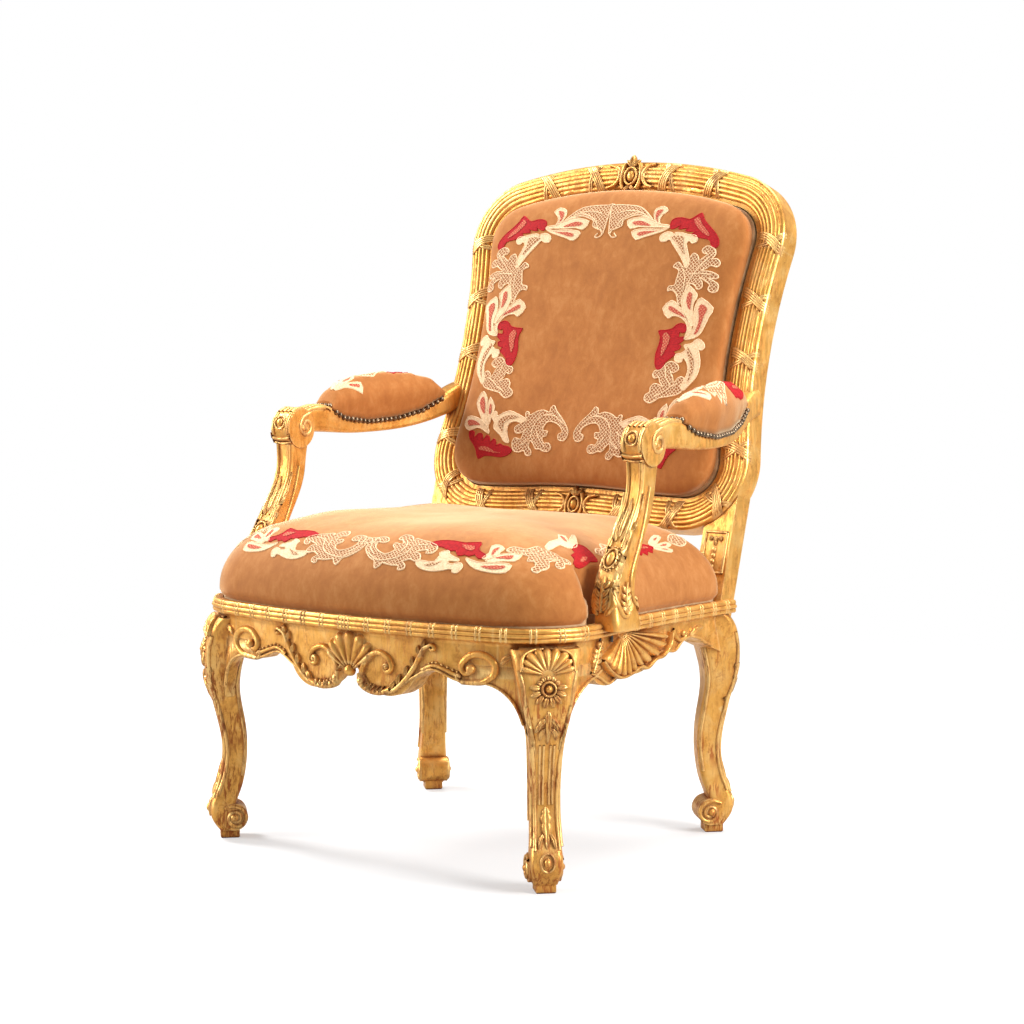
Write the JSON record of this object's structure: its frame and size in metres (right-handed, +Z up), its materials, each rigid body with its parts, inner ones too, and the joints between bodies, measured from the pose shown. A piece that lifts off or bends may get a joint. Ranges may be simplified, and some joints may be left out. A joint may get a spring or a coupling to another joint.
{
  "type": "upholstered armchair",
  "caption": "Open armchair with a carved and gilded wooden frame, arched back, curved legs with scrolled feet, and velvet seat, back and arm pads.",
  "frame": {"origin": "on the floor under the middle of the overall box", "axes": "+Z up, the sitter faces -Y, +X towards the sitter's left"},
  "size_m": [0.7256, 0.7894, 1.0465],
  "materials": {
    "gilt_wood": "water gilding over red ground, burnished on the high edges and worn",
    "bare_wood": "bare planed beech",
    "velvet": "apricot cut velvet with a pale lace border and red leaves",
    "outside_cloth": "plain apricot cloth",
    "webbing": "woven linen webbing",
    "hessian": "coarse plain weave",
    "stuffing": "horsehair in linen",
    "bronze": "darkened bronze, polished by wear",
    "iron": "plain dark iron"
  },
  "bodies": {
    "root": {"arm_dowels": "bare_wood", "arm_left": "gilt_wood", "arm_pad_cover_left": "velvet", "arm_pad_cover_right": "velvet", "arm_pad_nails_left": "bronze", "arm_pad_nails_right": "bronze", "arm_pad_stuffing_left": "stuffing", "arm_pad_stuffing_right": "stuffing", "arm_right": "gilt_wood", "arm_support_left": "gilt_wood", "arm_support_right": "gilt_wood", "arm_support_screws": "iron", "back_cover": "velvet", "back_frame_pegs": "bare_wood", "back_hessian": "hessian", "back_outside_cover": "outside_cloth", "back_panel_bottom_rail": "bare_wood", "back_panel_stile_left": "bare_wood", "back_panel_stile_right": "bare_wood", "back_panel_top_rail": "bare_wood", "back_stuffing": "stuffing", "back_webbing": "webbing", "back_webbing_tacks": "iron", "crest_rail": "gilt_wood", "front_leg_left": "gilt_wood", "front_leg_right": "gilt_wood", "front_rail": "gilt_wood", "lower_back_rail": "gilt_wood", "rear_post_left": "gilt_wood", "rear_post_right": "gilt_wood", "rear_seat_rail": "gilt_wood", "seat_cover": "velvet", "seat_frame_front": "bare_wood", "seat_frame_rear": "bare_wood", "seat_frame_side_left": "bare_wood", "seat_frame_side_right": "bare_wood", "seat_hessian": "hessian", "seat_rail_pegs": "bare_wood", "seat_stuffing": "stuffing", "seat_webbing": "webbing", "seat_webbing_tacks": "iron", "side_rail_left": "gilt_wood", "side_rail_right": "gilt_wood"}
  },
  "joints": []
}
